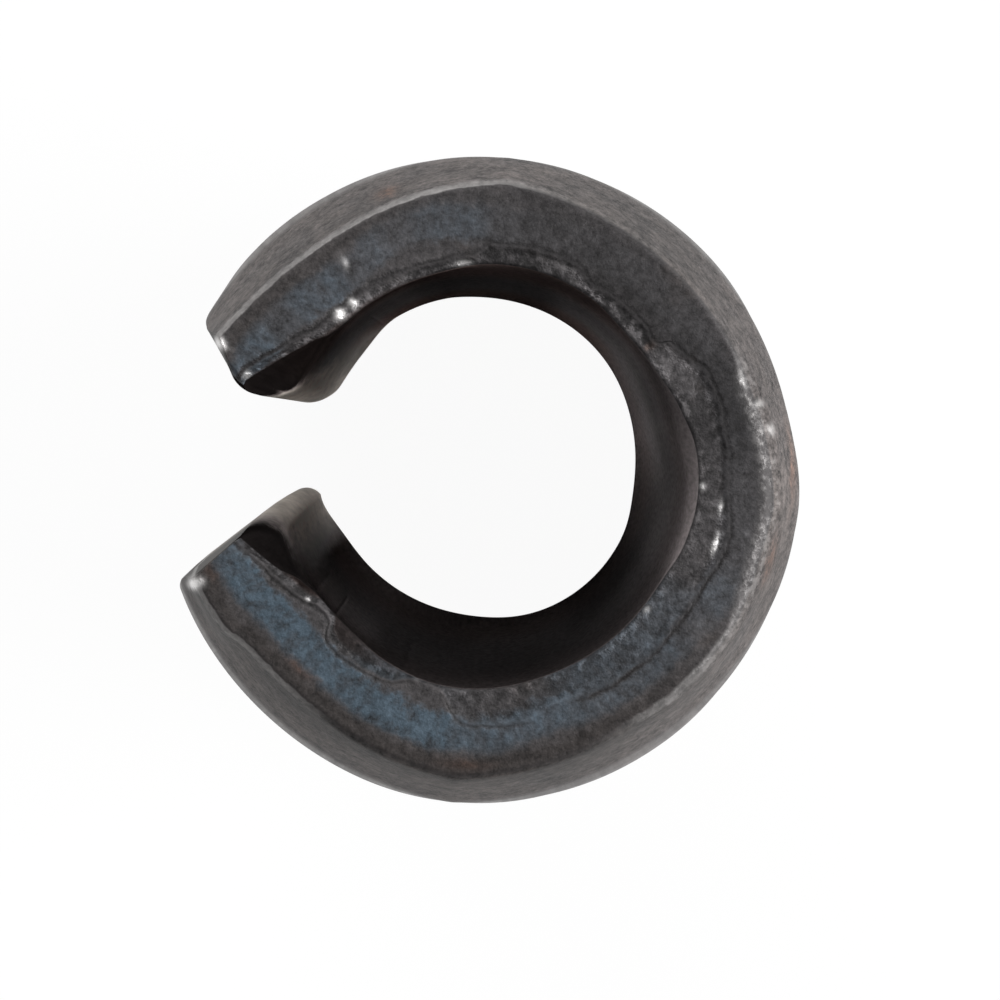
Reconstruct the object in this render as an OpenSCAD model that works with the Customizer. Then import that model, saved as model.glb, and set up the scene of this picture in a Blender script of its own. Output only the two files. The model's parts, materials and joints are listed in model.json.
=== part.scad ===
// Slotted spring pin: one strip of spring steel rolled into an open tube.
// The pin stands on one end, with +Z along its axis and its slot facing -X.
// The origin is on the axis, in the plane of the lower end.

/* [Tube] */
// Outside diameter of the free pin, before it is driven into its hole
outer_d = 8.65; // [8.3:0.05:9.2]
// Overall length
length = 30; // [16:1:60]
// Thickness of the rolled strip
wall = 1.5; // [1.2:0.05:1.8]

/* [Swaged ends] */
// Mean diameter over the flat end face, where the chamfer starts
end_d = 7.68; // [7.2:0.02:8]
// Mean length of the chamfer at each end
chamfer_length = 1.8; // [1.2:0.1:3]
// Number of dies that close on the end and press the chamfer
die_count = 4; // [3:1:8]
// Distance from the pin's axis to each die's own axis, which makes the soft corners between dies
die_offset = 0.64; // [0.1:0.02:0.9]

/* [Slot] */
// Width of the slot across the outside of the tube, before its edges are rounded
slot_mouth = 3.56; // [3:0.05:4.2]
// Angle from the slot's mid-plane to the flank of the left lip, on the +Y side
left_flank_angle = 50; // [40:1:56]
// Angle from the slot's mid-plane to the flank of the right lip, on the -Y side
right_flank_angle = 45; // [36:1:54]

/* [Lip edges] */
// Radius of the left lip's nose, where its flank meets the bore
left_nose_r = 0.34; // [0.1:0.02:0.5]
// Radius of the right lip's nose, where its flank meets the bore
right_nose_r = 0.36; // [0.1:0.02:0.5]
// Radius of the left lip's outer edge
left_edge_r = 0.24; // [0.05:0.01:0.4]
// Radius of the right lip's outer edge
right_edge_r = 0.16; // [0.05:0.01:0.4]

/* [Hidden] */
$fn = 180;

outer_r = outer_d / 2;
bore_r = outer_r - wall;
end_r = end_d / 2;

// Each die presses one arc of the end, opposite the side to which its axis is offset.
// Over that arc the die's face lies, on average, this share of the offset inside its own radius.
die_half_arc = 180 / die_count;
die_mean_share = sin(die_half_arc) / (die_half_arc * PI / 180);
die_end_r = end_r + die_offset * die_mean_share;
chamfer_slope = (outer_r - end_r) / chamfer_length;
die_base_r = die_end_r + chamfer_slope * length;

// Any point of the slot's outline that lies clear outside the tube
clear_r = 1.5 * outer_r;

// Unit vector along a flank, from the slot's mouth towards the bore
function along(angle) = [cos(angle), -sin(angle)];

// Unit vector square to a flank, from the slot into the lip
function into_lip(angle) = [sin(angle), cos(angle)];

// Corner where the flank meets the outside of the tube, before it is rounded
mouth_corner = [-sqrt(outer_r * outer_r - slot_mouth * slot_mouth / 4), slot_mouth / 2];

// Centre of a round of radius r that touches the flank and lies centre_r from the pin's axis
function round_centre(angle, r, centre_r) =
    let (depth = mouth_corner * into_lip(angle) + r)
    into_lip(angle) * depth - along(angle) * sqrt(centre_r * centre_r - depth * depth);

// Half of the slot's outline, on the +Y side of its mid-plane, with both edges of the lip rounded
module half_slot(angle, nose_r, edge_r) {
    nose = round_centre(angle, nose_r, bore_r + nose_r);
    edge = round_centre(angle, edge_r, outer_r - edge_r);
    difference() {
        polygon([
            [0, 0],
            nose * bore_r / (bore_r + nose_r),
            nose - into_lip(angle) * nose_r,
            edge - into_lip(angle) * edge_r,
            edge * outer_r / (outer_r - edge_r),
            edge * clear_r / (outer_r - edge_r),
            [-clear_r, 0]
        ]);
        translate(nose)
            circle(r = nose_r);
        translate(edge)
            circle(r = edge_r);
    }
}

// Cross-section of the rolled strip
module strip_section() {
    difference() {
        circle(r = outer_r);
        circle(r = bore_r);
        half_slot(left_flank_angle, left_nose_r, left_edge_r);
        mirror([0, 1])
            half_slot(right_flank_angle, right_nose_r, right_edge_r);
    }
}

// Space left between the dies that swage both ends: cones about axes set round the pin's own
module swaging_dies() {
    intersection_for (i = [0 : die_count - 1])
        rotate((i + 0.5) * 360 / die_count)
            translate([die_offset, 0, 0])
                intersection() {
                    cylinder(h = length, r1 = die_base_r, r2 = die_end_r);
                    cylinder(h = length, r1 = die_end_r, r2 = die_base_r);
                }
}

module spring_pin() {
    color("dimgray")
    intersection() {
        linear_extrude(height = length)
            strip_section();
        swaging_dies();
    }
}

spring_pin();
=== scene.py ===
"""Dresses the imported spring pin: its rolled, sheared, swaged and hardened steel, on a plain pale stage."""

import json
import math

import bpy
from bpy.props import FloatProperty, FloatVectorProperty, IntProperty, PointerProperty
from mathutils import Matrix, Vector


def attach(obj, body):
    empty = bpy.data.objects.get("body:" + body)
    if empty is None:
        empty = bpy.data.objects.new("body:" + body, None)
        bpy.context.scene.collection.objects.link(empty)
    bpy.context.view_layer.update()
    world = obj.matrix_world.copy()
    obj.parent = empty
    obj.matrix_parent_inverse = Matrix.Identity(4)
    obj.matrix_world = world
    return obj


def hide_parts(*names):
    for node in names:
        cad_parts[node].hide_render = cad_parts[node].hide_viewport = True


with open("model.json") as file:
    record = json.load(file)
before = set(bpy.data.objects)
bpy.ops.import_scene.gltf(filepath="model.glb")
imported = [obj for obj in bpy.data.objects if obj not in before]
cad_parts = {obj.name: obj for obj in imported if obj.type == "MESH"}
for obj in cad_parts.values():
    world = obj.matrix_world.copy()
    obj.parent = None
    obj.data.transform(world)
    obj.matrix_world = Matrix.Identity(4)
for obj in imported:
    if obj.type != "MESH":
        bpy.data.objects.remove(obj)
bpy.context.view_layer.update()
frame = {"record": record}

bl_info = {
    "name": "Slotted Spring Pin",
    "version": (1, 0, 0),
    "blender": (4, 5, 0),
    "location": "3D View > Sidebar > Spring Pin",
    "description": "Builds a rolled steel spring pin with sheared ends, and a plain stage for it",
    "category": "Object",
}

MM = 0.001
MOUNTS = {mount["name"]: mount for mount in frame["record"]["mounts"]}
LENGTH = MOUNTS["bore"]["dims"]["length_mm"] * MM
BORE_RADIUS = MOUNTS["bore"]["dims"]["r_mm"] * MM
OUTER_RADIUS = MOUNTS["shank"]["dims"]["r_mm"] * MM

# Listed points round the pin: an angle in degrees from +X, and a radius or length in millimetres.
# How far the closed ring bulges beyond a true circle
OUT_OF_ROUND = (
    (-160, 0.01), (-130, 0.03), (-80, 0.10), (-50, 0.07), (-20, -0.005), (2, -0.01), (20, -0.085),
    (50, -0.01), (90, 0.005), (130, 0.03), (150, -0.03),
)
# Radius of the bore's mouth, pressed in by the dies
UPPER_MOUTH = (
    (-165, 3.30), (-158, 3.08), (-151, 2.88), (-143, 2.66), (-137, 2.62), (-124, 2.65), (-112, 2.72),
    (-90, 2.785), (-60, 2.745), (-30, 2.745), (-12, 2.84), (6, 2.89), (25, 2.80), (45, 2.72),
    (65, 2.81), (85, 2.85), (108, 2.78), (128, 2.74), (136, 2.72), (145, 2.83), (152, 2.98),
    (158, 3.14), (163, 3.32),
)
LOWER_MOUTH = (
    (-160, 2.86), (-135, 2.70), (-100, 2.72), (-50, 2.865), (-28, 2.84), (5, 2.71), (50, 2.785),
    (90, 2.815), (120, 2.885), (150, 2.74), (165, 2.80),
)
# How far the ridge between an end face and its chamfer strays from the dies' own shape
RIDGE_WANDER = (
    (-162, 0.22), (-153, 0.20), (-145, 0.15), (-136, 0.01), (-122, -0.02), (-112, 0.01), (-95, 0.04),
    (-68, 0.06), (-56, 0.05), (-42, 0.11), (-28, 0.12), (-16, 0.07), (-6, 0.03), (60, 0.02),
    (100, 0.02), (130, -0.01), (140, 0.02), (147, 0.06), (156, 0.15),
)
# The step on each sheared end, between the smooth cut outside it and the torn steel inside it
STEP_LINE = (
    (-163, 3.36), (-159, 3.24), (-152, 3.04), (-145, 2.90), (-140, 2.81), (-134, 2.69), (-129, 2.90),
    (-124, 2.945), (-110, 2.93), (-102, 2.78), (-97, 2.80), (-88, 3.22), (-74, 3.25), (-66, 3.12),
    (-56, 3.19), (-20, 3.24), (-10, 3.34), (5, 3.25), (25, 3.29), (36, 3.14), (41, 3.06), (43.6, 2.87),
    (47, 2.94), (57, 2.96), (64, 2.93), (70, 3.08), (90, 3.09), (98, 2.93), (130, 2.89), (137, 2.89),
    (147, 3.02), (153, 3.16), (157, 3.29), (161, 3.43),
)

# Listed levels round the pin: an angle in degrees from +X, and a level about 1
# A sheared face's lightness
FACE_TONE = (
    (-160, 0.95), (-120, 0.98), (-60, 0.98), (-40, 0.94), (-12, 1.0), (5, 0.85), (22, 0.78), (38, 0.84),
    (50, 0.74), (78, 0.78), (98, 0.9), (125, 1.05), (145, 1.0), (160, 0.97),
)
# Depth of the groove along the step
GROOVE_DEPTH = (
    (-160, 1.0), (-138, 1.0), (-120, 0.8), (-104, 0.6), (-98, 0.1), (-88, 0.7), (-78, 0.7), (-72, 0.0),
    (-66, 0.0), (-60, 0.8), (-50, 1.2), (-20, 1.2), (-8, 0.9), (10, 0.3), (26, 0.9), (42, 0.8),
    (62, 0.5), (95, 0.7), (120, 0.9), (138, 1.2), (160, 1.3),
)
# Painted highlight on the torn steel's rim beside the step
RIM_SHINE = (
    (-161, 0.8), (-150, 0.5), (-138, 0.8), (-128, 0.4), (-110, 0.6), (-95, 0.3), (-72, 0.2), (-25, 0.2),
    (-12, 1.0), (-2, 0.5), (12, 0.25), (27, 0.7), (44, 0.5), (66, 0.8), (85, 0.35), (100, 0.35),
    (115, 0.35), (131, 0.8), (147, 0.8), (160, 0.9),
)
# Brightness of the ridge, and how widely it is worn
RIDGE_SHINE = (
    (-158, 0.9), (-136, 0.9), (-128, 0.8), (-120, 0.3), (-112, 0.0), (-74, 0.0), (-56, 0.2), (-42, 0.9),
    (-22, 0.7), (-8, 0.8), (20, 0.9), (32, 0.3), (45, 0.2), (75, 0.35), (90, 0.8), (104, 1.1),
    (120, 1.1), (140, 1.1), (153, 1.2),
)
RIDGE_SPREAD = (
    (-64, 0.0), (-50, 0.2), (-28, 0.3), (-16, 0.95), (-2, 1.0), (10, 1.0), (22, 1.0), (27, 0.7),
    (34, 0.1), (90, 0.0), (150, 0.0),
)
# Strength of the temper blue, its strength inside the step, and the radius in millimetres that it follows
BLUE_LEVEL = (
    (-163, 0.5), (-155, 0.8), (-140, 0.95), (-122, 0.9), (-100, 1.0), (-85, 0.6), (-66, 0.6),
    (-55, 0.45), (-38, 0.45), (-30, 0.2), (-22, 0.35), (-12, 0.1), (60, 0.05), (90, 0.1), (99, 0.4),
    (108, 0.35), (113, 0.15), (120, 0.35), (126, 0.2), (131, 0.5), (140, 0.5), (146, 0.2), (154, 0.6),
    (161, 0.5),
)
INNER_BLUE = (
    (-122, 0.0), (-112, 0.5), (-102, 0.45), (-94, 0.1), (-75, 0.0), (-60, 0.45), (-30, 0.35),
    (-20, 0.0),
)
BLUE_MIDDLE = (
    (-161, 3.56), (-156, 3.48), (-148, 3.34), (-140, 3.24), (-126, 3.20), (-115, 3.28), (-105, 3.32),
    (-96, 3.38), (-85, 3.40), (-68, 3.26), (-55, 3.30), (-36, 3.34), (-22, 3.48), (90, 3.38),
    (108, 3.46), (120, 3.36), (130, 3.22), (140, 3.30), (154, 3.40),
)
# The torn steel's lightness
TORN_TONE = (
    (-160, 0.8), (-130, 0.5), (-112, 0.55), (-95, 0.85), (-60, 0.7), (-30, 0.88), (-10, 0.9), (8, 0.9),
    (20, 0.8), (30, 1.2), (41, 1.5), (44, 0.9), (56, 0.9), (66, 0.9), (80, 0.65), (95, 0.55),
    (108, 0.6), (128, 0.95), (142, 1.0), (160, 1.0),
)
# Painted highlight along the mouth's edge, painted shade outside the step, and painted glints in pale scuffs
MOUTH_SHINE = (
    (-160, 0.3), (-140, 0.4), (-125, 0.3), (-100, 0.2), (-85, 0.5), (-60, 0.7), (-45, 0.9), (-32, 0.9),
    (-22, 0.5), (-8, 0.35), (5, 0.6), (15, 0.3), (26, 0.8), (40, 0.9), (43.5, 0.2), (50, 0.9),
    (57, 0.3), (64, 1.0), (72, 0.3), (85, 0.4), (95, 0.1), (100, 0.35), (106, 0.1), (118, 0.4),
    (126, 0.3), (145, 0.3), (160, 0.2),
)
UNDER_STEP = ((5, 0.0), (20, 0.35), (55, 0.3), (75, 0.0))
SCUFF_GLINTS = ((-70, 0.0), (-40, 0.1), (-20, 0.25), (-10, 0.5), (2, 0.65), (14, 0.55), (24, 0.2), (40, 0.0))
# Painted light and shade round the chamfers, and painted shade on both sides of the ridge
CHAMFER_LIGHT_AND_SHADE = (
    (-160, 0.42), (-153, 0.48), (-143, 0.8), (-130, 0.84), (-112, 0.76), (-100, 0.88), (-80, 0.8),
    (-64, 0.66), (-55, 0.8), (-30, 0.86), (-10, 0.88), (4, 1.15), (20, 0.92), (35, 0.79), (50, 0.67),
    (65, 0.65), (80, 0.8), (95, 1.0), (120, 0.94), (140, 1.0), (160, 1.0),
)
RIDGE_SHADE = (
    (-160, 0.8), (-145, 0.9), (-125, 1.0), (-70, 1.0), (-55, 0.9), (-40, 0.5), (-25, 0.1), (100, 0.0),
    (115, 0.4), (160, 0.6),
)
# The bore's rust and shade near its mouth
RUST_LEVEL = ((-160, 0.4), (-60, 0.3), (30, 0.2), (60, 0.8), (140, 1.0), (160, 0.6))
MOUTH_SHADE = (
    (-160, 0.6), (-100, 0.5), (-60, 0.5), (-40, 0.6), (-28, 0.6), (-12, 0.1), (5, 0.25), (20, 0.5),
    (50, 0.6), (75, 0.9), (105, 0.8), (160, 0.9),
)
# Painted light and shade round the bore, and what it is multiplied by from MIDDLE_BORE and from DEEP_BORE
# down
BORE_LIGHT = (
    (-160, 1.0), (-110, 0.8), (-60, 1.0), (-30, 1.7), (-12, 3.0), (6, 3.2), (25, 2.3), (45, 1.9),
    (75, 1.2), (95, 1.5), (112, 1.1), (125, 1.15), (140, 1.4), (160, 1.6),
)
BORE_MIDDLE = (
    (-160, 2.5), (-142, 3.3), (-126, 3.4), (-112, 1.4), (-60, 1.1), (-10, 1.2), (5, 1.0), (20, 1.4),
    (35, 1.7), (50, 2.0), (65, 1.8), (80, 0.9), (95, 0.8), (112, 1.3), (130, 3.0), (142, 2.0),
    (160, 1.0),
)
BORE_DEEP = (
    (-162, 4.0), (-152, 3.8), (-142, 2.2), (-128, 2.3), (-112, 1.6), (-95, 1.1), (-80, 1.4), (-65, 1.3),
    (-50, 0.7), (-35, 0.5), (-15, 0.75), (5, 1.8), (20, 2.8), (35, 3.2), (50, 3.0), (65, 2.5),
    (80, 1.0), (95, 1.0), (110, 1.8), (125, 3.8), (140, 4.0), (148, 2.5), (160, 1.0),
)
# Painted glints on nicked spots and corners of the ends: angle in degrees, radius, length round the pin
# and length radially in millimetres, and shine
NICK_GLINTS = (
    (131.0, 2.878, 0.05, 0.055, 1.0), (135.5, 2.865, 0.065, 0.06, 1.3), (161.0, 3.38, 0.05, 0.05, 0.8),
    (-140.0, 2.80, 0.03, 0.03, 0.6), (-102.5, 2.745, 0.035, 0.03, 0.4), (157.6, 3.90, 0.07, 0.09, 1.1),
    (-154.8, 4.05, 0.07, 0.11, 1.6), (127.0, 3.38, 0.045, 0.09, 0.35), (-10.5, 3.24, 0.11, 0.03, 0.9),
    (-1.5, 3.22, 0.09, 0.025, 0.4), (99.5, 2.86, 0.11, 0.04, 0.35), (-33.0, 2.81, 0.05, 0.04, 0.3),
    (3.0, 2.95, 0.05, 0.04, 0.4), (14.5, 3.93, 0.07, 0.05, 0.5), (20.0, 3.83, 0.05, 0.08, 0.35),
    (25.5, 3.72, 0.09, 0.04, 0.3),
)
# Rusty stains on the sheared ends and chamfers: angle, radius, length round and radially, strength
STAINS = (
    (113.0, 4.02, 0.16, 0.08, 0.7), (-156.0, 3.76, 0.14, 0.10, 0.5), (-129.0, 3.46, 0.2, 0.07, 0.7),
    (-88.0, 3.80, 0.35, 0.08, 0.4), (-11.0, 4.03, 0.3, 0.05, 0.6), (7.0, 4.2, 0.5, 0.06, 0.5),
    (43.0, 2.86, 0.06, 0.08, 0.5),
)


class Field:
    """A socket of a node tree that takes part in arithmetic by adding Math nodes."""

    def __init__(self, tree, socket):
        self.tree = tree
        self.socket = socket

    def math(self, operation, *others):
        node = self.tree.nodes.new("ShaderNodeMath")
        node.operation = operation
        for value, socket in zip((self, *others), node.inputs):
            plug(self.tree, value, socket)
        return Field(self.tree, node.outputs[0])

    def __add__(self, other):
        return self.math("ADD", other)

    def __radd__(self, other):
        return self.math("ADD", other)

    def __sub__(self, other):
        return self.math("SUBTRACT", other)

    def __rsub__(self, other):
        return (-self).math("ADD", other)

    def __mul__(self, other):
        return self.math("MULTIPLY", other)

    def __rmul__(self, other):
        return self.math("MULTIPLY", other)

    def __truediv__(self, other):
        return self.math("DIVIDE", other)

    def __neg__(self):
        return self.math("MULTIPLY", -1.0)

    def sin(self):
        return self.math("SINE")

    def cos(self):
        return self.math("COSINE")

    def root(self):
        return self.math("SQRT")

    def size(self):
        return self.math("ABSOLUTE")

    def clamp(self, low=0.0, high=1.0):
        return self.math("MAXIMUM", low).math("MINIMUM", high)

    def smooth(self, low, high):
        """0 at low, 1 at high, and an even S-curve between them."""
        node = self.tree.nodes.new("ShaderNodeMapRange")
        node.interpolation_type = "SMOOTHSTEP"
        for value, name in ((self, "Value"), (low, "From Min"), (high, "From Max")):
            plug(self.tree, value, node.inputs[name])
        return Field(self.tree, node.outputs["Result"])

    def bell(self, centre, width):
        """1 at centre, falling away on both sides over about the width."""
        away = (self - centre) / width
        return (-(away * away)).math("EXPONENT")

    def towards(self, other, share):
        """This value where share is 0 and the other where it is 1."""
        return self + (other - self) * share


def plug(tree, value, socket):
    """Links a Field to a socket, or sets the socket to a plain value."""
    if isinstance(value, Field):
        tree.links.new(value.socket, socket)
    else:
        socket.default_value = value


def add_node(tree, kind, inputs=None, **settings):
    """A new node with its settings, and with its named inputs linked or set."""
    node = tree.nodes.new(kind)
    for name, value in settings.items():
        setattr(node, name, value)
    for name, value in (inputs or {}).items():
        plug(tree, value, node.inputs[name])
    return node


def noise(tree, vector, scale, detail=2.0, roughness=0.5):
    """Noise about 0, mostly within 1 to each side."""
    node = add_node(tree, "ShaderNodeTexNoise", {
        "Vector": vector, "Scale": scale, "Detail": detail, "Roughness": roughness})
    return Field(tree, node.outputs[0]) * 4 - 2


def round_the_pin(tree, angle, points, low, high):
    """A value that follows given points (degrees, value) round the pin; angle is in radians."""
    node = tree.nodes.new("ShaderNodeFloatCurve")
    node.mapping.extend = "HORIZONTAL"
    curve = node.mapping.curves[0]
    spots = [(place / 360 + 0.5, (value - low) / (high - low)) for place, value in points]
    while len(curve.points) < len(spots):
        curve.points.new(0.5, 0.5)
    for point, spot in zip(curve.points, spots):
        point.location = spot
        point.handle_type = "AUTO_CLAMPED"
    node.mapping.update()
    plug(tree, angle / (2 * math.pi) + 0.5, node.inputs["Value"])
    return Field(tree, node.outputs["Value"]) * (high - low) + low


def millimetres(name, description, size):
    """A length of the pin that is given in millimetres and kept in the model's metres."""
    return FloatProperty(name=name, description=description, default=size * MM, unit="LENGTH", precision=6)


def degrees(name, description, angle):
    """An angle that is given in degrees."""
    return FloatProperty(name=name, description=description, default=math.radians(angle), unit="ROTATION")


def grid_lines(name, description, count, fewest):
    """A number of grid lines."""
    return IntProperty(name=name, description=description, default=count, min=fewest)


class SpringPinForm(bpy.types.PropertyGroup):
    """Sizes of the pin, in the model's metres."""

    end_radius: millimetres("End Radius", "Mean radius of the flat end face", 3.84)
    chamfer_length: millimetres("Chamfer Length", "Mean length of the swaged chamfer at each end", 1.8)
    die_offset: millimetres("Die Offset", "From the pin's axis to each swaging die's own axis", 0.64)
    slot_mouth: millimetres("Slot Mouth", "Width of the slot across the outside of the tube", 3.56)
    left_flank_upper: degrees("Left Flank Upper", "Left flank from the slot's mid-plane, upper end", 54)
    left_flank_lower: degrees("Left Flank Lower", "Left flank from the slot's mid-plane, lower end", 50)
    right_flank_upper: degrees("Right Flank Upper", "Right flank from the slot's mid-plane, upper end", 42)
    right_flank_lower: degrees("Right Flank Lower", "Right flank from the slot's mid-plane, lower end", 43)
    left_set_upper: millimetres("Left Set Upper", "How far the left flank lies back, upper end", 0.02)
    left_set_lower: millimetres("Left Set Lower", "How far the left flank lies back, lower end", -0.28)
    right_set_upper: millimetres("Right Set Upper", "How far the right flank lies back, upper end", 0.005)
    right_set_lower: millimetres("Right Set Lower", "How far the right flank lies back, lower end", -0.155)
    left_nose_upper: millimetres("Left Nose Upper", "Radius from left flank to bore, upper end", 0.46)
    left_nose_lower: millimetres("Left Nose Lower", "Radius from left flank to bore, lower end", 0.58)
    right_nose_upper: millimetres("Right Nose Upper", "Radius from right flank to bore, upper end", 0.36)
    right_nose_lower: millimetres("Right Nose Lower", "Radius from right flank to bore, lower end", 0.32)
    left_edge: millimetres("Left Edge", "Radius of the left lip's outer edge", 0.24)
    right_edge: millimetres("Right Edge", "Radius of the right lip's outer edge", 0.16)
    ridge_round: millimetres("Ridge Round", "Worn radius between the end face and its chamfer", 0.09)
    ridge_wear: millimetres("Ridge Wear", "Added to the ridge's radius where it is worn most", 0.12)
    mouth_round: millimetres("Mouth Round", "Radius between the end face and the bore or a flank", 0.06)
    lip_roll: millimetres("Lip Roll", "Extra radius of the mouth's round beside the slot", 0.33)
    mouth_depth: millimetres("Mouth Depth", "How deep the dies' pressing of the mouth reaches", 1.6)
    step_depth: millimetres("Step Depth", "Depth of the torn steel below the smooth cut", 0.035)
    around: grid_lines("Around", "Grid lines along the strip, from lip to lip", 640, 40)
    through: grid_lines("Through", "Grid lines through the wall", 44, 6)
    along: grid_lines("Along", "Grid lines along the pin", 30, 12)
    seed: IntProperty(name="Seed", description="Start of the surface's random relief", default=3)


class SpringPinStage(bpy.types.PropertyGroup):
    """Camera, lamps and floor."""

    camera_distance: millimetres("Camera Distance", "From the camera to the upper end face", 93.5)
    camera_turn: degrees("Camera Turn", "Turn of the picture about the line of sight", 5)
    pixels_per_mm: FloatProperty(
        name="Pixels Per Millimetre", description="Scale of the picture at the upper end face",
        default=75.4)
    floor_colour: FloatVectorProperty(
        name="Floor", description="Colour of the floor", default=(0.82, 0.82, 0.82),
        size=3, subtype="COLOR", min=0, max=1)


# The fields of SpringPinForm that the tree takes, by their names there
LENGTH_INPUTS = (
    "end_radius", "chamfer_length", "die_offset", "slot_mouth",
    "left_set_upper", "left_set_lower", "right_set_upper", "right_set_lower",
    "left_nose_upper", "left_nose_lower", "right_nose_upper", "right_nose_lower",
    "left_edge", "right_edge", "ridge_round", "ridge_wear",
    "mouth_round", "lip_roll", "mouth_depth", "step_depth",
)
ANGLE_INPUTS = ("left_flank_upper", "left_flank_lower", "right_flank_upper", "right_flank_lower")
COUNT_INPUTS = ("around", "through", "along", "seed")

DIES = 4
# Share of the grid lines, from the back to a lip, that lie before the lip's rounds
BODY_SHARE = 0.9
# Share of the grid lines along the pin that lie at each end, the millimetres that they cover, and how
# much closer they come together towards the end
END_SHARE = 0.42
END_ZONE = 2.5
END_SPREAD = 1.7
# How late, on the way up the pin, the right lip takes on its upper shape: a power of the height
RIGHT_LIP_DELAY = 2.6
# Millimetres over which the chamfer runs into the shank, and down to which the ridge's wander reaches
SHOULDER_SOFTNESS = 0.07
WANDER_REACH = 1.6
# How much wider than its round each corner of a flank is, at the bore and at the outside
NOSE_ARC = 1.9
EDGE_ARC = 1.2
# Relief of the sheared faces: spots to the millimetre, detail, roughness and height in millimetres
RELIEF = ((1.3, 2.0, 0.5, 0.008), (7.0, 3.0, 0.6, 0.003))


def rounded(across, down, radius):
    """How far a square corner's points move when it is rounded: along the first way, and along the second.

    across and down are the distances from the two faces that meet there, in millimetres.
    """
    a = (1 - across / radius).clamp()
    b = (1 - down / radius).clamp()
    move_a = a * (1 - b * b * 0.5).root() - a
    move_b = b * (1 - a * a * 0.5).root() - b
    return move_a * radius, move_b * radius


def strip_tree():
    """Geometry nodes that roll a flat block of strip into the pin and swage, shear and wear its ends."""
    tree = bpy.data.node_groups.new("rolled_strip", "GeometryNodeTree")
    tree.interface.new_socket("geometry", in_out="OUTPUT", socket_type="NodeSocketGeometry")
    for name in ("length", "outer_radius", "bore_radius", *LENGTH_INPUTS, *ANGLE_INPUTS):
        tree.interface.new_socket(name, in_out="INPUT", socket_type="NodeSocketFloat")
    for name in COUNT_INPUTS:
        tree.interface.new_socket(name, in_out="INPUT", socket_type="NodeSocketInt")
    tree.interface.new_socket("material", in_out="INPUT", socket_type="NodeSocketMaterial")
    given = tree.nodes.new("NodeGroupInput")
    size = {socket.name: Field(tree, socket) for socket in given.outputs if socket.name}

    block = add_node(tree, "GeometryNodeMeshCube", {
        "Size": (1, 1, 1), "Vertices X": size["around"], "Vertices Y": size["through"],
        "Vertices Z": size["along"],
    })
    place = add_node(tree, "ShaderNodeSeparateXYZ", {
        "Vector": Field(tree, tree.nodes.new("GeometryNodeInputPosition").outputs[0])})
    along_strip = Field(tree, place.outputs["X"]) * -2
    through = Field(tree, place.outputs["Y"]) + 0.5
    along_pin = Field(tree, place.outputs["Z"]) + 0.5

    # Height, with most grid lines near the ends
    length = size["length"]
    low = (along_pin / END_SHARE).clamp()
    middle = ((along_pin - END_SHARE) / (1 - 2 * END_SHARE)).clamp()
    high = ((1 - along_pin) / END_SHARE).clamp()
    height = (low.math("POWER", END_SPREAD) * END_ZONE + middle * (length - 2 * END_ZONE)
              + END_ZONE - high.math("POWER", END_SPREAD) * END_ZONE)
    depth = height.math("MINIMUM", length - height)
    upper = height.math("GREATER_THAN", length * 0.5)
    end_turn = upper * 2 - 1
    rise = height / length

    # The lip that this half of the strip ends in
    right = along_strip.math("LESS_THAN", 0.0)
    side = 1 - right * 2
    share = along_strip.size()

    def of_lip(name):
        """A size of this half's lip at this height."""
        left_size = size["left_" + name + "_lower"].towards(size["left_" + name + "_upper"], rise)
        end_share = rise.math("POWER", RIGHT_LIP_DELAY)
        right_size = size["right_" + name + "_lower"].towards(size["right_" + name + "_upper"], end_share)
        return left_size.towards(right_size, right)

    flank = of_lip("flank")
    nose_r = of_lip("nose")
    edge_r = size["left_edge"].towards(size["right_edge"], right)
    bore_r, outer_r = size["bore_radius"], size["outer_radius"]
    half_mouth = size["slot_mouth"] * 0.5
    sin_flank, cos_flank = flank.sin(), flank.cos()
    mouth_x = -((outer_r * outer_r - half_mouth * half_mouth).root())
    flank_offset = mouth_x * sin_flank + half_mouth * cos_flank + of_lip("set")

    def round_centre(radius, centre_r):
        """Centre of a round that touches the flank and lies centre_r from the pin's axis."""
        inset = flank_offset + radius
        slide = (centre_r * centre_r - inset * inset).root()
        return inset * sin_flank - slide * cos_flank, inset * cos_flank + slide * sin_flank

    def outline(radius, centre, round_r, start_turn):
        """A wall's outline: an arc about the axis to the lip, and then the lip's round."""
        lip_angle = centre[1].math("ARCTAN2", centre[0])
        start = lip_angle + start_turn
        end = 1.5 * math.pi - flank
        angle = lip_angle * (share / BODY_SHARE).clamp()
        turn = start.towards(end, ((share - BODY_SHARE) / (1 - BODY_SHARE)).clamp())
        x = angle.cos() * radius + (turn.cos() - start.cos()) * round_r
        y = angle.sin() * radius + (turn.sin() - start.sin()) * round_r
        return x, y * side

    def polar(x, y):
        return (x * x + y * y).root(), y.math("ARCTAN2", x)

    inner_x, inner_y = outline(bore_r, round_centre(nose_r, bore_r + nose_r), nose_r, math.pi)
    outer_x, outer_y = outline(outer_r, round_centre(edge_r, outer_r - edge_r), edge_r, 0.0)

    # The bore, a little out of round, with both mouths pressed in by the dies
    inner_reach, inner_angle = polar(inner_x, inner_y)
    free_bore = bore_r + round_the_pin(tree, inner_angle, OUT_OF_ROUND, -0.2, 0.2)
    mouth = round_the_pin(tree, inner_angle, LOWER_MOUTH, 2.5, 3.5).towards(
        round_the_pin(tree, inner_angle, UPPER_MOUTH, 2.5, 3.5), upper)
    mouth = mouth.towards(free_bore, depth.smooth(0.0, size["mouth_depth"]))
    bore_now = (mouth / inner_reach).math("MAXIMUM", (mouth / bore_r).math("MINIMUM", 1.0))
    inner_x, inner_y = inner_x * bore_now, inner_y * bore_now
    behind = (flank_offset - inner_x * sin_flank - inner_y * side * cos_flank).clamp(0.0, 9.0)
    inner_x = inner_x + sin_flank * behind
    inner_y = inner_y + cos_flank * side * behind

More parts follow.
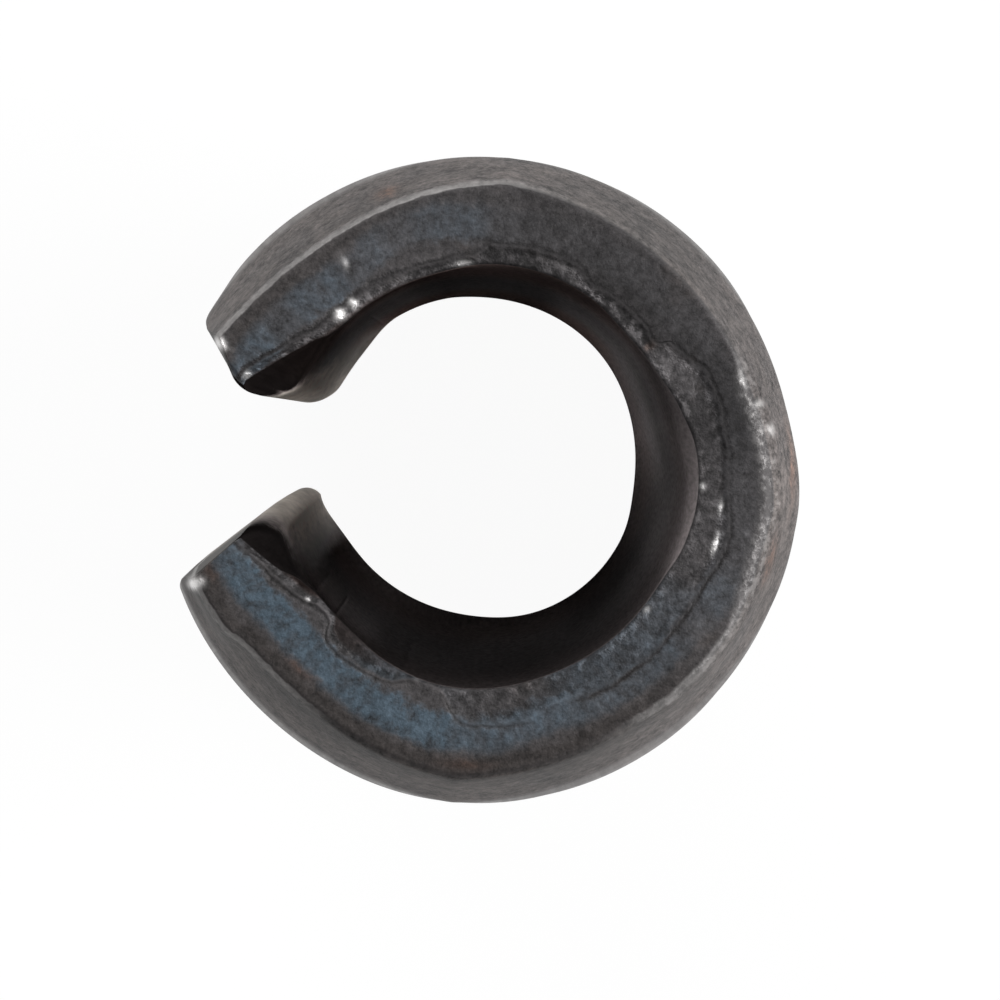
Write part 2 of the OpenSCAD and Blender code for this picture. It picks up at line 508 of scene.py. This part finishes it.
    # The outside, swaged at both ends by the dies
    outer_reach, outer_angle = polar(outer_x, outer_y)
    free_outside = outer_reach + round_the_pin(tree, outer_angle, OUT_OF_ROUND, -0.2, 0.2)
    die_arc = 2 * math.pi / DIES
    fold = outer_angle.math("FLOORED_MODULO", die_arc) - die_arc / 2
    mean_share = math.sin(die_arc / 2) / (die_arc / 2)
    die_side = fold.sin() * size["die_offset"]

    wander = round_the_pin(tree, outer_angle * end_turn, RIDGE_WANDER, -0.3, 0.3)

    def die_reach(down):
        """Radius to which the dies press the outside at a distance down from the end."""
        slope = (outer_r - size["end_radius"]) / size["chamfer_length"]
        die_r = size["end_radius"] + size["die_offset"] * mean_share + slope * down
        pressed = (die_r * die_r - die_side * die_side).root() - fold.cos() * size["die_offset"]
        return pressed + wander * (1 - down.smooth(0.0, WANDER_REACH))

    smooth_min = add_node(tree, "ShaderNodeMath", operation="SMOOTH_MIN")
    for value, socket in zip((free_outside, die_reach(depth), SHOULDER_SOFTNESS), smooth_min.inputs):
        plug(tree, value, socket)
    swaged = Field(tree, smooth_min.outputs[0]) / outer_reach
    outer_x, outer_y = outer_x * swaged, outer_y * swaged

    # Across the wall, with closer grid lines near both faces
    even = 0.5 - (through * math.pi).cos() * 0.5
    across = through.towards(even, 0.5)
    lip = (1 - share) / (1 - BODY_SHARE)
    wall_x, wall_y = outer_x - inner_x, outer_y - inner_y
    wall = (wall_x * wall_x + wall_y * wall_y).root()
    mouth_round = size["mouth_round"] + size["lip_roll"] * (1 - lip.smooth(-0.5, 3.0))
    worn = round_the_pin(tree, outer_angle * end_turn, RIDGE_SPREAD, 0.0, 2.0)
    ridge_round = size["ridge_round"] + size["ridge_wear"] * worn
    out_move, out_drop = rounded((1 - across) * wall, depth, ridge_round)
    in_move, in_drop = rounded(across * wall, depth, mouth_round)
    move = across + (out_move - in_move) / wall
    x = inner_x + wall_x * move
    y = inner_y + wall_y * move

    # The flanks' own corners with the end faces
    lip_arc = (nose_r * NOSE_ARC).towards(edge_r * EDGE_ARC, across)
    lip_move, lip_drop = rounded(lip * lip_arc, depth, size["mouth_round"])
    x = x - sin_flank * lip_move
    y = y - cos_flank * lip_move * side
    drop = out_drop.math("MINIMUM", in_drop).math("MINIMUM", lip_drop)

    # The sheared faces' relief
    reach, angle = polar(x, y)
    step = reach - round_the_pin(tree, angle * end_turn, STEP_LINE, 2.0, 4.0)
    spot = add_node(tree, "ShaderNodeCombineXYZ", {"X": x, "Y": y, "Z": height + size["seed"] * 50})
    spot = Field(tree, spot.outputs[0])
    on_end = 1 - depth.smooth(0.0, 0.3)
    relief = (step.smooth(-0.05, 0.04) - 1) * size["step_depth"]
    for scale, detail, roughness, bumps in RELIEF:
        relief = relief + noise(tree, spot, scale, detail, roughness) * bumps
    lift = (drop + relief * on_end) * end_turn

    # What the steel needs to know of each point, stored while the block is still flat
    geometry = Field(tree, block.outputs["Mesh"])
    inset = die_reach(depth * 0) - reach
    measures = {"across": across, "depth": depth, "lip": lip, "inset": inset, "mouth": across * wall}
    for name, value in measures.items():
        stored = add_node(
            tree, "GeometryNodeStoreNamedAttribute",
            {"Geometry": geometry, "Name": name, "Value": value}, data_type="FLOAT", domain="POINT")
        geometry = Field(tree, stored.outputs[0])
    new_place = add_node(tree, "ShaderNodeCombineXYZ", {
        "X": x * MM, "Y": y * MM, "Z": (height + lift) * MM})
    shaped = add_node(tree, "GeometryNodeSetPosition", {
        "Geometry": geometry, "Position": Field(tree, new_place.outputs[0])})
    geometry = Field(tree, shaped.outputs[0])
    real = add_node(tree, "GeometryNodeRealizeInstances", {"Geometry": geometry})
    shown = add_node(tree, "GeometryNodeSetMaterial", {
        "Geometry": Field(tree, real.outputs[0]), "Material": size["material"]})
    result = tree.nodes.new("NodeGroupOutput")
    tree.links.new(shown.outputs[0], result.inputs["geometry"])
    return tree


def mix_colour(tree, first, second, share, blend_type="MIX"):
    """One colour laid over another by a share of it."""
    node = add_node(tree, "ShaderNodeMix", data_type="RGBA", blend_type=blend_type, clamp_factor=True)
    plug(tree, share, node.inputs[0])
    plug(tree, first, node.inputs[6])
    plug(tree, second, node.inputs[7])
    return Field(tree, node.outputs[2])


# Tints of the steel, laid over its tone
GREY = (1.05, 0.98, 1.0, 1)
BLUE = (0.72, 0.99, 1.25, 1)
BROWN = (1.12, 0.97, 0.92, 1)
TAN = (1.10, 1.0, 0.90, 1)
RUST = (1.25, 0.92, 0.86, 1)
STAIN = (1.35, 0.88, 0.66, 1)
PLAIN = (1.0, 1.0, 1.0, 1)
NOSE_SHINE = (0.72, 0.62, 0.56, 1)
# Colours of bare steel, and of the painted glints
WORN_STEEL = (0.30, 0.29, 0.285, 1)
GLINT_STEEL = (0.9, 0.88, 0.87, 1)
# Tones of each finish
FACE_STEEL = 0.052
# Painted shade in the mouths that roll in beside the slot
ROLLED_MOUTH_SHADE = 0.009
SWAGED_STEEL = 0.08
SHANK_STEEL = 0.09
BORE_SCALE = 0.085
FLANK_STEEL = 0.19
# Millimetres to both sides of the temper blue's middle between which it fades out
BLUE_FADE = (0.16, 0.32)
# Millimetres below an end: what its face takes in, how far the painted shade below the ridge reaches, and
# where the shank begins, the chamfer's painted light and shade fades, and the shade, the rolled mouth's
# painted shade and the rust in the bore fade
FACE_SKIN = 0.035
RIDGE_SHADE_REACH = 1.2
SHANK_START = (1.6, 1.9)
CHAMFER_FADE = (1.0, 3.0)
SHADE_FADE = (1.0, 10.0)
ROLLED_SHADE_FADE = (2.0, 9.0)
RUST_FADE = (4.0, 12.0)
# Millimetres below an end between which the lips' noses grow lighter with painted light
NOSE_LIGHTENS = (4.0, 15.0)
# Millimetres below the upper end between which the bore takes on its middle and its deep painted light and
# shade
MIDDLE_BORE = (3.0, 10.0)
DEEP_BORE = (11.0, 20.0)
# Finish of the bare steel
STEEL_ROUGHNESS = 0.6
STEEL_METAL = 0.7
STEEL_SPECULAR = 0.3


class PinSurface:
    """Where a shaded point lies on the pin, as Fields in millimetres and radians."""

    def __init__(self, tree):
        self.tree = tree
        where = add_node(tree, "ShaderNodeTexCoord")
        scaled = add_node(
            tree, "ShaderNodeVectorMath", {"Vector": Field(tree, where.outputs["Object"])},
            operation="SCALE")
        scaled.inputs["Scale"].default_value = 1 / MM
        self.spot = Field(tree, scaled.outputs[0])
        parts = add_node(tree, "ShaderNodeSeparateXYZ", {"Vector": self.spot})
        x, y, self.z = (Field(tree, socket) for socket in parts.outputs)
        self.upper = self.z.math("GREATER_THAN", LENGTH / MM / 2)
        self.reach = (x * x + y * y).root()
        self.angle = y.math("ARCTAN2", x)
        self.turn = self.angle * (self.upper * 2 - 1)
        self.across, self.depth, self.lip, self.inset, self.mouth = (
            self.attribute(name) for name in ("across", "depth", "lip", "inset", "mouth"))
        self.face = 1 - self.depth.smooth(0.0, FACE_SKIN)
        self.flank = (1 - self.lip.smooth(0.0, 0.06)) * (1 - self.face)
        side = 1 - self.face - self.flank
        self.outside = self.across.smooth(0.4, 0.6) * side
        self.bore = (side - self.outside).clamp()
        self.round_x, self.round_y = x / self.reach, y / self.reach
        # Unevenness of the steel, from fine to coarse
        self.fine = self.noise(24.0, 3.0, 0.65)
        self.grit = self.noise(9.0, 4.0, 0.6, 1.0)
        self.blotch = self.noise(4.0, 3.0, 0.6, 4.0)
        self.cloud = self.noise(1.3, 3.0, 0.55, 2.0)
        self.mottle = self.fine * 0.3 + self.grit * 0.4 + self.blotch * 0.28 + self.cloud * 0.12
        self.chips = (self.blotch * 0.6 + self.grit * 0.7 + 0.05).smooth(-0.1, 0.6)

    def attribute(self, name):
        node = add_node(self.tree, "ShaderNodeAttribute", attribute_name=name)
        return Field(self.tree, node.outputs["Fac"])

    def noise(self, scale, detail=2.0, roughness=0.5, seed=0.0):
        """Noise of about so many spots to the millimetre."""
        place = add_node(self.tree, "ShaderNodeVectorMath", {"Vector": self.spot}, operation="ADD")
        place.inputs[1].default_value = (seed * 7, seed * 13, seed * 5)
        return noise(self.tree, Field(self.tree, place.outputs[0]), scale, detail, roughness)

    def streaks(self, round_scale, radial_scale, along_scale, detail=2.0, seed=0.0):
        """Noise with its own fineness round the pin, radially and along it, in spots to the millimetre."""
        radius = OUTER_RADIUS / MM
        vector = add_node(self.tree, "ShaderNodeCombineXYZ", {
            "X": self.round_x * (radius * round_scale), "Y": self.round_y * (radius * round_scale),
            "Z": self.reach * radial_scale + self.z * along_scale + seed * 50})
        return noise(self.tree, Field(self.tree, vector.outputs[0]), 1.0, detail, 0.6)

    def level(self, points, low=0.0, high=2.0):
        """A level round an end; it is mirrored on the lower end."""
        return round_the_pin(self.tree, self.turn, points, low, high)

    def bore_level(self, points, low=0.0, high=2.0):
        """A level round the bore, the same over its whole length."""
        return round_the_pin(self.tree, self.angle, points, low, high)


class EndFace:
    """A sheared end face: its step, the torn steel inside it, its rims and its temper colour, with painted
    shade in its groove and rolled mouths and painted highlights on its edges.
    """

    def __init__(self, pin):
        self.pin = pin
        self.ragged = pin.reach + pin.grit * 0.012 + pin.blotch * 0.025
        self.step = self.ragged - pin.level(STEP_LINE, 2.0, 4.0)
        self.torn = 1 - self.step.smooth(-0.03, 0.03)
        crack = (0.75 + pin.blotch * 0.4 + pin.cloud * 0.3).clamp(0.1, 1.2)
        groove_line = self.step.bell(0.06, 0.035 + pin.cloud * 0.01)
        self.groove = groove_line * pin.level(GROOVE_DEPTH) * crack
        # Painted highlights on the torn steel's rim and along the mouth's edge, which also raise the relief
        rim = self.step.bell(-0.06, 0.055) * pin.level(RIM_SHINE)
        mouth_edge = (pin.mouth + pin.grit * 0.02).bell(0.06, 0.07) * pin.level(MOUTH_SHINE)
        self.edges = (rim + mouth_edge) * pin.chips
        # Painted shade where the mouth rolls in beside the slot, near black with a rust hue
        self.rolled = (1 - pin.lip.smooth(1.5, 4.5)) * (1 - self.step.smooth(-0.14, -0.06))
        self.radial = pin.streaks(7.0, 2.2, 0.0, 3.0, 3.0)

    def temper_blue(self):
        """How blue the hardening left the face."""
        pin = self.pin
        middle = pin.level(BLUE_MIDDLE, 2.0, 4.0)
        away = (self.ragged + pin.blotch * 0.05 + pin.grit * 0.02 - middle).size()
        outer = (1 - away.smooth(*BLUE_FADE)) * pin.level(BLUE_LEVEL) * (1 - self.groove)
        inner = self.torn * pin.level(INNER_BLUE)
        uneven = 1 + self.radial * 0.25 + pin.blotch * 0.4 + pin.grit * 0.2
        return (outer.math("MAXIMUM", inner) * uneven).clamp()

    def colour(self, tree):
        pin = self.pin
        blued = self.temper_blue()
        # Painted shade on the face beside the ridge, which also browns it, and painted shade outside the
        # step
        ridge_shade = (pin.inset + pin.blotch * 0.05 + pin.grit * 0.03).bell(0.15, 0.14) * pin.level(RIDGE_SHADE)
        under_step = self.step.bell(0.2, 0.18) * pin.level(UNDER_STEP)
        tone = pin.level(FACE_TONE) * FACE_STEEL * (1 + pin.mottle + self.radial * 0.08)
        tone = tone * (1 + blued * 0.5) * (1 - ridge_shade * 0.35) * (1 - under_step)
        tone = tone.towards(tone * pin.level(TORN_TONE) * (1 + pin.grit * 0.2), self.torn)
        # Painted glints in pale scuffs on one side of each face
        scuff_glints = (pin.blotch * 0.7 + pin.grit * 0.7 + pin.cloud * 0.2 - 0.5).smooth(-0.1, 0.5)
        scuff_glints = scuff_glints * pin.level(SCUFF_GLINTS)
        # The groove along the step is darkened with painted shade.
        tone = tone * (1 - self.groove * 0.6) * (1 + scuff_glints * 0.7) + self.edges * 0.05
        tone = tone.towards(ROLLED_MOUTH_SHADE * (1 + pin.mottle), self.rolled)
        brown = pin.cloud.smooth(0.3, 1.2).math("MAXIMUM", ridge_shade) * 0.8
        hue = mix_colour(tree, GREY, BROWN, brown)
        hue = mix_colour(tree, hue, BLUE, blued)
        hue = mix_colour(tree, hue, RUST, self.rolled)
        return mix_colour(tree, hue, tone, 1.0, "MULTIPLY")

    def spots(self, points):
        """Soft spots on the upper end, from listed places, sizes and strengths."""
        pin = self.pin
        total = 0.0
        for angle, radius, round_size, radial_size, strength in points:
            off_round = (pin.turn - math.radians(angle) + pin.blotch * 0.004) * (radius / round_size)
            off_radial = (self.ragged - radius) / radial_size
            spread = -(off_round * off_round + off_radial * off_radial)
            total = spread.math("EXPONENT") * strength + total
        return total * pin.upper * (1 - pin.bore) * (1 + pin.grit * 0.3)


class WornRidge:
    """The ridge between an end face and its chamfer, bare where it is worn."""

    def __init__(self, pin):
        patchy = pin.level(RIDGE_SPREAD)
        band = 0.045 + patchy * 0.25
        uneven = (pin.blotch * 0.5 + pin.grit * 0.3) * (0.03 + patchy * 0.08)
        worn = 1 - ((pin.inset + uneven) / band).smooth(0.5, 1.1)
        worn = worn * (pin.inset + pin.grit * 0.01).smooth(-0.06, 0.0)
        flaked = (0.9 + pin.grit * 0.3).towards(0.25 + pin.chips, patchy)
        self.bare = worn * pin.level(RIDGE_SHINE) * flaked
        self.cover = (self.bare * (0.62 - patchy * 0.27)).clamp()


class Outside:
    """The swaged chamfers and the drawn shank."""

    def __init__(self, pin):
        self.pin = pin
        self.on_shank = pin.depth.smooth(*SHANK_START)
        self.rings = pin.streaks(1.2, 0.0, 5.0, 2.0, 6.0)
        self.drawn = pin.streaks(7.0, 0.0, 0.12, 3.0, 7.0)

    def colour(self, tree):
        pin = self.pin
        swaged = 1 - self.on_shank
        uneven = pin.mottle * (1.5 - self.on_shank) + pin.fine * 0.25
        uneven = uneven + self.rings * 0.1 * swaged + self.drawn * 0.2 * self.on_shank
        tone = (SWAGED_STEEL + self.on_shank * (SHANK_STEEL - SWAGED_STEEL)) * (1 + uneven)
        # Painted light and shade round the chamfer, fading out down towards the shank
        tone = tone * pin.level(CHAMFER_LIGHT_AND_SHADE).towards(1.0, pin.depth.smooth(*CHAMFER_FADE))
        # Painted shade on the chamfer just below the ridge
        tone = tone * (1 - pin.level(RIDGE_SHADE) * 0.5 * (1 - pin.depth.smooth(0.0, RIDGE_SHADE_REACH)))
        brown = (0.85 + pin.cloud * 0.3 + self.rings * 0.1).clamp()
        hue = mix_colour(tree, GREY, BROWN, brown)
        return mix_colour(tree, hue, tone, 1.0, "MULTIPLY")


class Inside:
    """The scaled bore, and the lips' noses and flanks; the bore's lightness is painted light and shade, and
    the noses and flanks are painted lighter from a little below the upper end.
    """

    def __init__(self, pin):
        self.pin = pin
        self.below = LENGTH / MM - pin.z
        self.worn = pin.streaks(5.0, 5.0, 0.5, 3.0, 11.0)
        left = pin.angle.math("GREATER_THAN", 0.0)
        # The noses and flanks are painted lighter from a little below the upper mouth
        right_start = 4.8 + (pin.lip - 0.9).clamp(0, 9) * 6
        left_start = 1.3 + (pin.lip - 0.72).clamp(0, 9) * 15
        start = right_start.towards(left_start, left)
        self.lit_below_mouth = (self.below / start + pin.blotch * 0.15 + self.worn * 0.15).smooth(0.6, 1.9)
        by_lip = 1 - (pin.lip + pin.blotch * 0.1 - left * 0.9).smooth(1.15, 1.9 + left * 0.4)
        self.nose = by_lip * self.lit_below_mouth

    def scale_light_and_shade(self):
        """How light the scale in the bore is, with painted light and shade round and down the bore."""
        pin = self.pin
        scale = pin.streaks(9.0, 0.0, 2.0, 3.0, 9.0)
        shade = (1 - pin.depth.smooth(*SHADE_FADE)) * pin.bore_level(MOUTH_SHADE) * pin.upper
        # Painted shade where the upper mouth rolls in beside the slot
        rolled_in_shade = (1 - pin.lip.smooth(2.0, 4.0)) * (1 - pin.depth.smooth(*ROLLED_SHADE_FADE)) * pin.upper
        # The bore's lightness round it and down it is painted light and shade
        tone = pin.bore_level(BORE_LIGHT, 0.0, 4.0) * BORE_SCALE * (1 + scale * 0.3) * (1 - shade * 0.6)
        tone = tone * (1 - rolled_in_shade * 0.9)
        middle = pin.bore_level(BORE_MIDDLE, 0.0, 4.0).towards(1.0, 1 - self.below.smooth(*MIDDLE_BORE))
        return tone * middle.towards(pin.bore_level(BORE_DEEP, 0.0, 4.0), self.below.smooth(*DEEP_BORE))

    def bore_colour(self, tree):
        pin = self.pin
        # The noses' lightness is painted light, lightest near each lip's edge and further down
        nose_tone = 0.3 + pin.lip.bell(0.95, 0.4) * 0.55
        nose_tone = nose_tone * (0.9 + pin.depth.smooth(*NOSE_LIGHTENS) * 0.35)
        nose_tone = (nose_tone * (1 + self.worn * 0.25 + pin.cloud * 0.1)).clamp(0.0, 0.95)
        rust = (1 - pin.depth.smooth(*RUST_FADE)) * pin.bore_level(RUST_LEVEL)
        hue = mix_colour(tree, GREY, RUST, rust.clamp())
        hue = mix_colour(tree, hue, TAN, self.nose)
        return mix_colour(tree, hue, self.scale_light_and_shade().towards(nose_tone, self.nose), 1.0, "MULTIPLY")

    def flank_colour(self, tree):
        pin = self.pin
        tone = FLANK_STEEL * (1 + pin.mottle * 0.8 + pin.streaks(0.0, 9.0, 0.3, 2.0, 8.0) * 0.08)
        # The flank is painted dark near the upper end and lighter below it
        return mix_colour(tree, TAN, tone * (0.15 + self.lit_below_mouth * 0.85), 1.0, "MULTIPLY")


def steel_material():
    """Dark tempered steel: satin chamfers, worn ridges, torn and blued end faces and a scaled bore, with
    painted light, shade and glints laid into the colour.
    """
    material = bpy.data.materials.new("spring_steel")
    material.use_nodes = True
    tree = material.node_tree
    surface = tree.nodes["Principled BSDF"]
    pin = PinSurface(tree)
    end = EndFace(pin)
    ridge = WornRidge(pin)
    outside = Outside(pin)
    inside = Inside(pin)
    nick_glints = end.spots(NICK_GLINTS)
    stains = (end.spots(STAINS) * (1 + pin.blotch * 0.6)).clamp()

    colour = mix_colour(tree, end.colour(tree), outside.colour(tree), pin.outside)
    colour = mix_colour(tree, colour, inside.bore_colour(tree), pin.bore)
    colour = mix_colour(tree, colour, inside.flank_colour(tree), pin.flank)
    colour = mix_colour(tree, colour, WORN_STEEL, ridge.cover)
    colour = mix_colour(tree, colour, STAIN, stains, "MULTIPLY")
    # Painted glints on nicked spots and corners
    colour = mix_colour(tree, colour, GLINT_STEEL, (nick_glints * 0.8).clamp())
    plug(tree, colour, surface.inputs["Base Color"])

    scaled = (pin.bore * (1 - inside.nose)).math("MAXIMUM", end.rolled * pin.face)
    shank = pin.outside * outside.on_shank
    # Where the noses carry painted light, they are also less metallic and their reflection is tinted
    lit_nose_area = inside.nose * pin.bore
    shine = (ridge.bare * 0.5 + nick_glints).clamp()
    rough = STEEL_ROUGHNESS + pin.bore * 0.15 - shine * 0.2 + pin.fine * 0.04
    rough = rough - shank * (0.2 + outside.drawn * 0.05)
    plug(tree, rough.clamp(0.2, 0.9), surface.inputs["Roughness"])
    metal = STEEL_METAL - scaled * STEEL_METAL - (pin.outside - shank) * 0.35 - lit_nose_area * 0.5
    plug(tree, metal.clamp(), surface.inputs["Metallic"])
    specular = STEEL_SPECULAR - scaled * STEEL_SPECULAR - pin.outside * 0.1
    plug(tree, specular.clamp(), surface.inputs["Specular IOR Level"])
    plug(tree, mix_colour(tree, PLAIN, NOSE_SHINE, lit_nose_area), surface.inputs["Specular Tint"])

    height = end.edges * 0.008 - end.groove * 0.02 + nick_glints * 0.02 + ridge.bare * 0.004
    height = height + (pin.grit * 0.002 + pin.blotch * 0.003) * pin.face * (1 + end.torn)
    height = height + (pin.fine + pin.grit) * 0.001
    height = height + outside.rings * 0.0015 * pin.outside * (1 - outside.on_shank)
    bump = add_node(tree, "ShaderNodeBump", {"Height": height, "Distance": MM, "Strength": 1.0})
    tree.links.new(bump.outputs["Normal"], surface.inputs["Normal"])
    return material


class SPRINGPIN_OT_pin(bpy.types.Operator):
    """Roll the strip into the pin and finish its steel"""

    bl_idname = "spring_pin.make_pin"
    bl_label = "Make Pin"

    def execute(self, context):
        form = context.scene.spring_pin_form
        tree = strip_tree()
        carrier = bpy.data.objects.new("strip", bpy.data.meshes.new("strip"))
        context.scene.collection.objects.link(carrier)
        modifier = carrier.modifiers.new("rolled_strip", "NODES")
        modifier.node_group = tree
        values = {"length": LENGTH / MM, "outer_radius": OUTER_RADIUS / MM, "bore_radius": BORE_RADIUS / MM}
        values.update({name: getattr(form, name) / MM for name in LENGTH_INPUTS})
        values.update({name: getattr(form, name) for name in ANGLE_INPUTS + COUNT_INPUTS})
        values["material"] = steel_material()
        for item in tree.interface.items_tree:
            if item.in_out == "INPUT":
                modifier[item.identifier] = values[item.name]
        context.view_layer.update()
        evaluated = carrier.evaluated_get(context.evaluated_depsgraph_get())
        mesh = bpy.data.meshes.new_from_object(evaluated)
        if not mesh.polygons:
            raise RuntimeError("the rolled strip came out empty")
        bpy.data.objects.remove(carrier)
        mesh.shade_smooth()
        pin = bpy.data.objects.new("rolled_pin", mesh)
        context.scene.collection.objects.link(pin)
        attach(pin, "root")
        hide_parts("spring_pin")
        return {"FINISHED"}


# Half the floor's width, and how far it lies below the pin's lower end, in metres
FLOOR_HALF = 3.0
FLOOR_GAP = 0.02 * MM
# How much of the floor, seen by the camera or in the steel, is plain white
FLOOR_WHITE = 0.95
# Strength of the even light from all round
ROOM_LIGHT = 0.38
# Round soft lamps: name, power in watts, and width and place in metres
LAMPS = (
    ("key", 0.70, 0.15, (0.18, 0.01, 0.16)),
    ("fill", 0.35, 0.20, (-0.06, 0.17, 0.15)),
)
# Places in the picture, in pixels: its middle, the middle of the upper end, and where lines along
# the pin's axis run together
MIDDLE_PIXEL = Vector((500, 500))
FACE_PIXEL = Vector((480, 479))
VANISHING_PIXEL = Vector((481.6, 395))
PICTURE_WIDTH = 1000
# The camera's sensor, in millimetres
SENSOR_WIDTH = 36


class SPRINGPIN_OT_stage(bpy.types.Operator):
    """Set the floor, the lamps and the camera"""

    bl_idname = "spring_pin.make_stage"
    bl_label = "Make Stage"

    def execute(self, context):
        settings = context.scene.spring_pin_stage
        self.make_floor(context, settings)
        self.make_light(context)
        self.make_camera(context, settings)
        context.scene.view_settings.view_transform = "Standard"
        return {"FINISHED"}

    def make_floor(self, context, settings):
        mesh = bpy.data.meshes.new("floor")
        sides = ((-1, -1), (1, -1), (1, 1), (-1, 1))
        corners = [(x * FLOOR_HALF, y * FLOOR_HALF, -FLOOR_GAP) for x, y in sides]
        mesh.from_pydata(corners, [], [(0, 1, 2, 3)])
        floor = bpy.data.objects.new("floor", mesh)
        context.scene.collection.objects.link(floor)
        material = bpy.data.materials.new("pale_floor")
        material.use_nodes = True
        tree = material.node_tree
        tree.nodes.clear()
        matt = add_node(tree, "ShaderNodeBsdfDiffuse")
        matt.inputs["Color"].default_value = (*settings.floor_colour, 1)
        glow = add_node(tree, "ShaderNodeEmission", {"Strength": 1.0})
        path = tree.nodes.new("ShaderNodeLightPath")
        seen = Field(tree, path.outputs["Is Camera Ray"]).math(
            "MAXIMUM", Field(tree, path.outputs["Is Glossy Ray"])).math(
            "MAXIMUM", Field(tree, path.outputs["Is Transmission Ray"]))
        mixed = add_node(tree, "ShaderNodeMixShader", {"Fac": seen * FLOOR_WHITE})
        tree.links.new(matt.outputs[0], mixed.inputs[1])
        tree.links.new(glow.outputs[0], mixed.inputs[2])
        result = tree.nodes.new("ShaderNodeOutputMaterial")
        tree.links.new(mixed.outputs[0], result.inputs["Surface"])
        mesh.materials.append(material)

    def make_light(self, context):
        world = bpy.data.worlds.new("studio")
        context.scene.world = world
        world.use_nodes = True
        tree = world.node_tree
        tree.nodes.clear()
        soft = add_node(tree, "ShaderNodeBackground", {"Color": (1, 1, 1, 1), "Strength": ROOM_LIGHT})
        white = add_node(tree, "ShaderNodeBackground", {"Color": (1, 1, 1, 1), "Strength": 1.0})
        path = tree.nodes.new("ShaderNodeLightPath")
        mixed = add_node(tree, "ShaderNodeMixShader", {"Fac": Field(tree, path.outputs["Is Camera Ray"])})
        tree.links.new(soft.outputs[0], mixed.inputs[1])
        tree.links.new(white.outputs[0], mixed.inputs[2])
        result = tree.nodes.new("ShaderNodeOutputWorld")
        tree.links.new(mixed.outputs[0], result.inputs["Surface"])
        for lamp in LAMPS:
            self.make_lamp(context, *lamp)

    def make_lamp(self, context, name, power, width, place):
        """A round soft lamp that shines on the pin's upper end."""
        lamp = bpy.data.lights.new(name, "AREA")
        lamp.shape = "DISK"
        lamp.size = width
        lamp.energy = power
        holder = bpy.data.objects.new(name, lamp)
        aim = (Vector((0, 0, LENGTH)) - Vector(place)).to_track_quat("-Z", "Y")
        holder.matrix_world = Matrix.Translation(place) @ aim.to_matrix().to_4x4()
        context.scene.collection.objects.link(holder)

    def make_camera(self, context, settings):
        turn = settings.camera_turn
        right = Vector((math.cos(turn), math.sin(turn), 0))
        up = Vector((-math.sin(turn), math.cos(turn), 0))
        top = Vector((0, 0, LENGTH))
        pixels_per_metre = settings.pixels_per_mm / MM

        def at(pixel):
            """The point in the upper end's plane that the picture shows at a pixel."""
            off = (pixel - FACE_PIXEL) / pixels_per_metre
            return top + right * off.x - up * off.y

        camera = bpy.data.cameras.new("camera")
        camera.sensor_width = SENSOR_WIDTH
        camera.lens = pixels_per_metre * settings.camera_distance / PICTURE_WIDTH * SENSOR_WIDTH
        camera.clip_start = 0.01
        camera.clip_end = 10
        eye = at(VANISHING_PIXEL) + Vector((0, 0, settings.camera_distance))
        back = (eye - at(MIDDLE_PIXEL)).normalized()
        across = up.cross(back).normalized()
        axes = Matrix((across, back.cross(across), back)).transposed()
        viewer = bpy.data.objects.new("camera", camera)
        viewer.matrix_world = Matrix.Translation(eye) @ axes.to_4x4()
        context.scene.collection.objects.link(viewer)
        context.scene.camera = viewer


class SPRINGPIN_PT_panel(bpy.types.Panel):
    """Lists the pin's sizes and the steps that build it"""

    bl_label = "Spring Pin"
    bl_idname = "SPRINGPIN_PT_panel"
    bl_space_type = "VIEW_3D"
    bl_region_type = "UI"
    bl_category = "Spring Pin"

    def draw(self, context):
        for group in (context.scene.spring_pin_form, context.scene.spring_pin_stage):
            box = self.layout.box()
            for name in group.bl_rna.properties.keys():
                if name not in ("rna_type", "name"):
                    box.prop(group, name)
        for operator in OPERATORS:
            self.layout.operator(operator.bl_idname)


OPERATORS = (SPRINGPIN_OT_pin, SPRINGPIN_OT_stage)
CLASSES = (SpringPinForm, SpringPinStage, *OPERATORS, SPRINGPIN_PT_panel)


def register():
    for each in CLASSES:
        bpy.utils.register_class(each)
    bpy.types.Scene.spring_pin_form = PointerProperty(type=SpringPinForm)
    bpy.types.Scene.spring_pin_stage = PointerProperty(type=SpringPinStage)


def unregister():
    del bpy.types.Scene.spring_pin_stage
    del bpy.types.Scene.spring_pin_form
    for each in reversed(CLASSES):
        bpy.utils.unregister_class(each)


def main():
    register()
    bpy.ops.spring_pin.make_pin()
    bpy.ops.spring_pin.make_stage()


if __name__ == "__main__":
    main()
